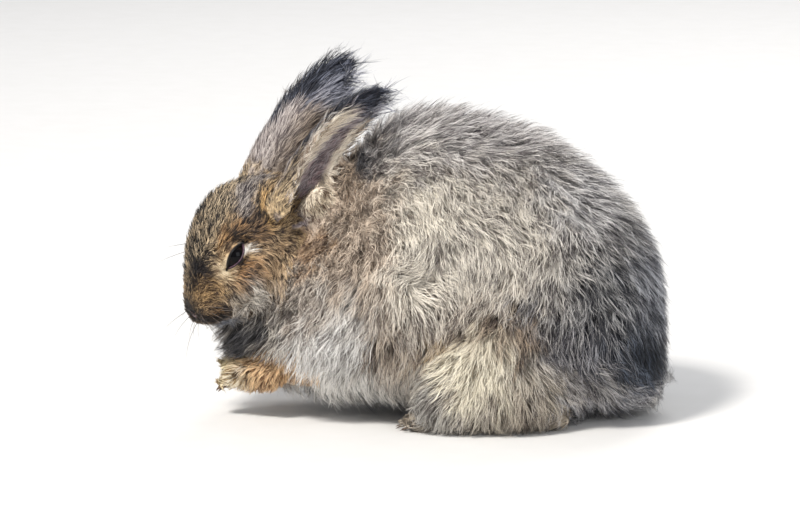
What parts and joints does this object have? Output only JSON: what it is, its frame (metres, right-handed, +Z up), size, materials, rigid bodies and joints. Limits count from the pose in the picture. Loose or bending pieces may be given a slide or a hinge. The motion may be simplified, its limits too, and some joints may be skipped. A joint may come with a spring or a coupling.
{
  "type": "long-haired rabbit display model",
  "caption": "Life-size still model of a long-haired grey-brown rabbit, sitting hunched with its head bent and its forepaws held together under its chin.",
  "frame": {"origin": "middle of the footprint box on the floor", "axes": "-X the way the rabbit faces, -Y its left side, +Z up"},
  "size_m": [0.3166, 0.199, 0.2285],
  "materials": {
    "face_fur": "short dense fur, ticked brown, cream and black",
    "ear_fur": "short silvery fur with long dark fringes at the tips",
    "body_coat": "long soft wavy coat, silver grey and cream over slate and brown",
    "foot_fur": "short golden to cream fur",
    "tail_fur": "pale fluffy fur",
    "skin": "skin under the coat, bare at the nose, lids and inside of the ears",
    "eye": "very dark brown, wet gloss",
    "claw": "dark horn, smooth",
    "whisker": "stiff tapering hair"
  },
  "bodies": {
    "root": {"head": "face_fur", "eye_left": "eye", "eye_right": "eye", "ear_left": "ear_fur", "ear_right": "ear_fur", "neck": "body_coat", "trunk": "body_coat", "haunch_left": "body_coat", "haunch_right": "body_coat", "foreleg_left": "foot_fur", "foreleg_right": "foot_fur", "hind_foot_left": "foot_fur", "hind_foot_right": "foot_fur", "tail": "tail_fur"}
  },
  "joints": []
}
